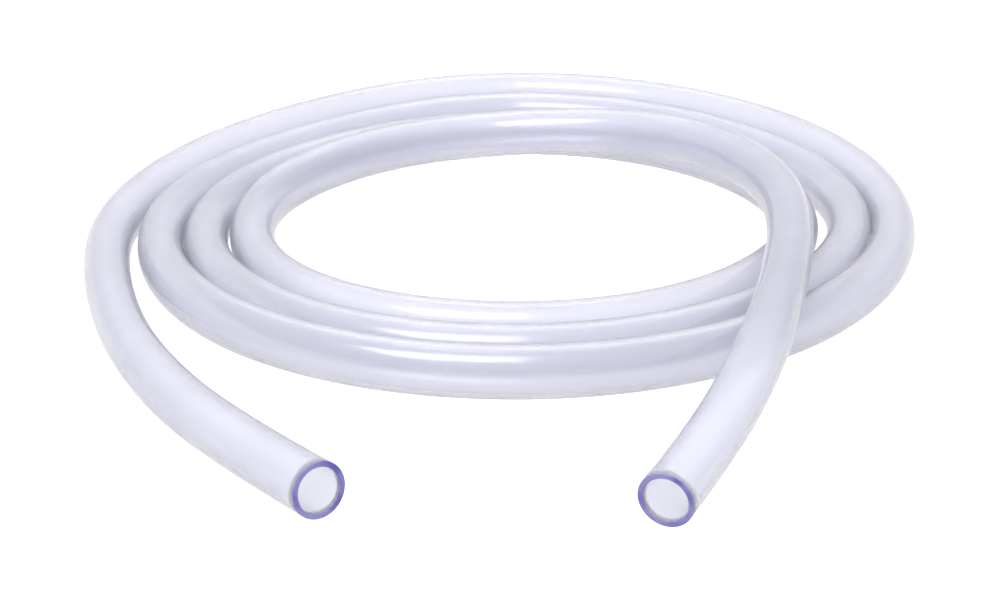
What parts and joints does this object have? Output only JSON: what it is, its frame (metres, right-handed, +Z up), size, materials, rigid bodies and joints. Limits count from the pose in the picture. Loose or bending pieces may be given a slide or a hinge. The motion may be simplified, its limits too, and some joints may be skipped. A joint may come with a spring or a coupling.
{
  "type": "siphon hose",
  "caption": "Loosely coiled clear vinyl siphon hose with two open square-cut ends, for racking liquid between vessels.",
  "frame": {"origin": "on the surface the hose lies on, under the middle of the whole hose", "axes": "+Z up from the surface, +Y from the two open ends towards the back of the coil, +X to the right seen from the open ends"},
  "size_m": [0.2752, 0.3507, 0.0325],
  "materials": {
    "clear_vinyl": "clear, smooth and glossy, faintly lavender",
    "cut_vinyl": "square-cut end face, where the clear wall is looked through lengthways"
  },
  "bodies": {
    "root": {"coil": "clear_vinyl", "raised_turn": "clear_vinyl", "left_run": "clear_vinyl", "right_run": "clear_vinyl", "left_mouth": "clear_vinyl", "right_mouth": "clear_vinyl"}
  },
  "joints": []
}
